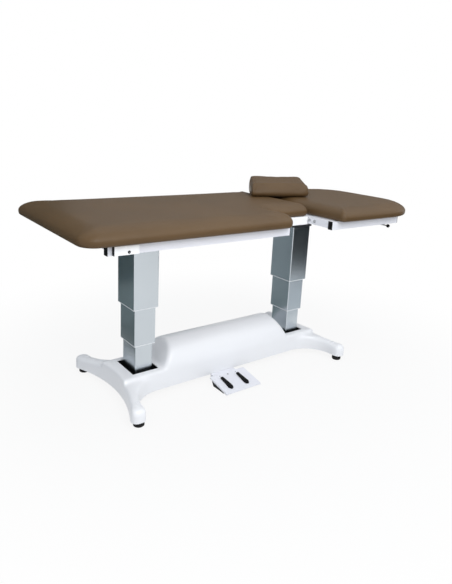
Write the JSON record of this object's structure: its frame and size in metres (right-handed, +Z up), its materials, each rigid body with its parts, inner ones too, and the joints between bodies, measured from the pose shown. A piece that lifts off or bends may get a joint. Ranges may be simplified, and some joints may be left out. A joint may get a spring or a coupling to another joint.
{
  "type": "examination table",
  "caption": "Electric examination table on telescopic columns, with a padded top, side cut-out, tilting head section, loose pillow, moulded base cover and foot pedals.",
  "frame": {"origin": "on the floor under the middle of the table top", "axes": "+X to the head end, -Y to the side with the cut-out and the foot control, +Z up"},
  "size_m": [1.927, 0.748, 0.922],
  "materials": {
    "white_epoxy_steel": "satin",
    "white_moulding": "gloss",
    "anodised_aluminium": "satin",
    "grey_glide": "matte",
    "black_plastic": "satin",
    "black_rubber": "matte",
    "bright_steel": "satin",
    "dark_painted_steel": "satin",
    "grey_housing": "matte",
    "plywood": "matte",
    "brown_leatherette": "satin",
    "cable_sheath": "matte"
  },
  "bodies": {
    "base": {"base_long_beams": "dark_painted_steel", "base_leg_arms": "dark_painted_steel", "column_base_plates": "dark_painted_steel", "levelling_foot_pads": "black_rubber", "levelling_foot_stems": "bright_steel", "base_cover": "white_moulding", "cover_plugs": "white_moulding", "column_wells": "black_plastic", "lower_stages": "anodised_aluminium", "lower_stage_glides": "grey_glide", "drive_motors": "dark_painted_steel", "drive_tubes": "bright_steel", "control_box": "grey_housing", "power_supply": "grey_housing", "mains_inlet": "black_plastic", "pedal_arm": "white_epoxy_steel", "pedal_housing": "black_plastic", "pedal_plate": "white_epoxy_steel", "pedal_pivot_pin": "bright_steel", "pedal_switches": "black_plastic"},
    "foot_mid": {"foot_mid_stage": "anodised_aluminium", "foot_mid_glides": "grey_glide", "foot_hollow_spindle": "bright_steel"},
    "head_mid": {"head_mid_stage": "anodised_aluminium", "head_mid_glides": "grey_glide", "head_hollow_spindle": "bright_steel"},
    "table_top": {"top_stages": "anodised_aluminium", "top_stage_glides": "grey_glide", "column_flanges": "dark_painted_steel", "inner_spindles": "bright_steel", "carrier_beams": "white_epoxy_steel", "near_rail": "white_epoxy_steel", "far_rail": "white_epoxy_steel", "tongue_rail": "white_epoxy_steel", "main_cross_tubes": "white_epoxy_steel", "main_rail_caps": "black_plastic", "accessory_sockets": "white_epoxy_steel", "main_pad_board": "plywood", "main_pad": "brown_leatherette", "hinge_main_ears": "white_epoxy_steel", "hinge_pins": "bright_steel", "gas_spring_anchor": "white_epoxy_steel"},
    "head_section": {"head_near_rail": "white_epoxy_steel", "head_far_rail": "white_epoxy_steel", "head_cross_bars": "white_epoxy_steel", "head_rail_caps": "black_plastic", "hinge_head_ears": "white_epoxy_steel", "head_bar_bolts": "bright_steel", "head_pad_board": "plywood", "head_pad": "brown_leatherette", "gas_spring_clevis": "white_epoxy_steel", "lever_bracket": "white_epoxy_steel", "release_cable": "cable_sheath"},
    "gas_cylinder": {"gas_spring_cylinder": "dark_painted_steel"},
    "gas_rod": {"gas_spring_rod": "bright_steel"},
    "release_lever": {"release_lever": "bright_steel", "release_knob": "black_plastic"},
    "pillow": {"pillow": "brown_leatherette"},
    "left_pedal": {"left_pedal": "black_plastic"},
    "right_pedal": {"right_pedal": "black_plastic"}
  },
  "joints": [
    {"name": "table_lift", "type": "slide", "parent": "base", "child": "table_top", "axis": [0, 0, 1], "range_m": [-0.32, 0.08]},
    {"name": "foot_mid_lift", "type": "slide", "parent": "base", "child": "foot_mid", "axis": [0, 0, 1], "range_m": [-0.16, 0.04]},
    {"name": "head_mid_lift", "type": "slide", "parent": "base", "child": "head_mid", "axis": [0, 0, 1], "range_m": [-0.16, 0.04]},
    {"name": "head_tilt", "type": "hinge", "parent": "table_top", "child": "head_section", "pos_m": [0.2945, 0, 0.779], "axis": [0, -1, 0], "range_deg": [0, 60]},
    {"name": "gas_spring_swing", "type": "hinge", "parent": "table_top", "child": "gas_cylinder", "pos_m": [0.27155, 0.11, 0.62167], "axis": [0, -1, 0], "range_deg": [0, 30]},
    {"name": "gas_spring_stroke", "type": "slide", "parent": "gas_cylinder", "child": "gas_rod", "axis": [0.8729, 0, 0.4879], "range_m": [0, 0.107]},
    {"name": "release_lever_pull", "type": "hinge", "parent": "head_section", "child": "release_lever", "pos_m": [0.7775, -0.175, 0.704], "axis": [-1, 0, 0], "range_deg": [0, 6], "stiffness_Nm_per_rad": 4, "springref_deg": -5.73},
    {"name": "pillow_lean", "type": "hinge", "parent": "table_top", "child": "pillow", "pos_m": [0.1365, 0, 0.8319], "axis": [0, -1, 0], "range_deg": [0, 46]},
    {"name": "left_pedal_press", "type": "hinge", "parent": "base", "child": "left_pedal", "pos_m": [-0.2215, -0.18525, 0.02429], "axis": [1, 0, 0], "range_deg": [0, 4], "stiffness_Nm_per_rad": 8, "springref_deg": -3.58},
    {"name": "right_pedal_press", "type": "hinge", "parent": "base", "child": "right_pedal", "pos_m": [-0.1295, -0.18525, 0.02429], "axis": [1, 0, 0], "range_deg": [0, 4], "stiffness_Nm_per_rad": 8, "springref_deg": -3.58}
  ],
  "couplings": [
    {"joint": "foot_mid_lift", "follows": "table_lift", "ratio": 0.5},
    {"joint": "head_mid_lift", "follows": "table_lift", "ratio": 0.5},
    {"joint": "gas_spring_swing", "follows": "head_tilt", "ratio": 0.5},
    {"joint": "gas_spring_stroke", "follows": "head_tilt", "m_per_rad": 0.1012},
    {"joint": "pillow_lean", "follows": "head_tilt", "ratio": 0.76}
  ]
}
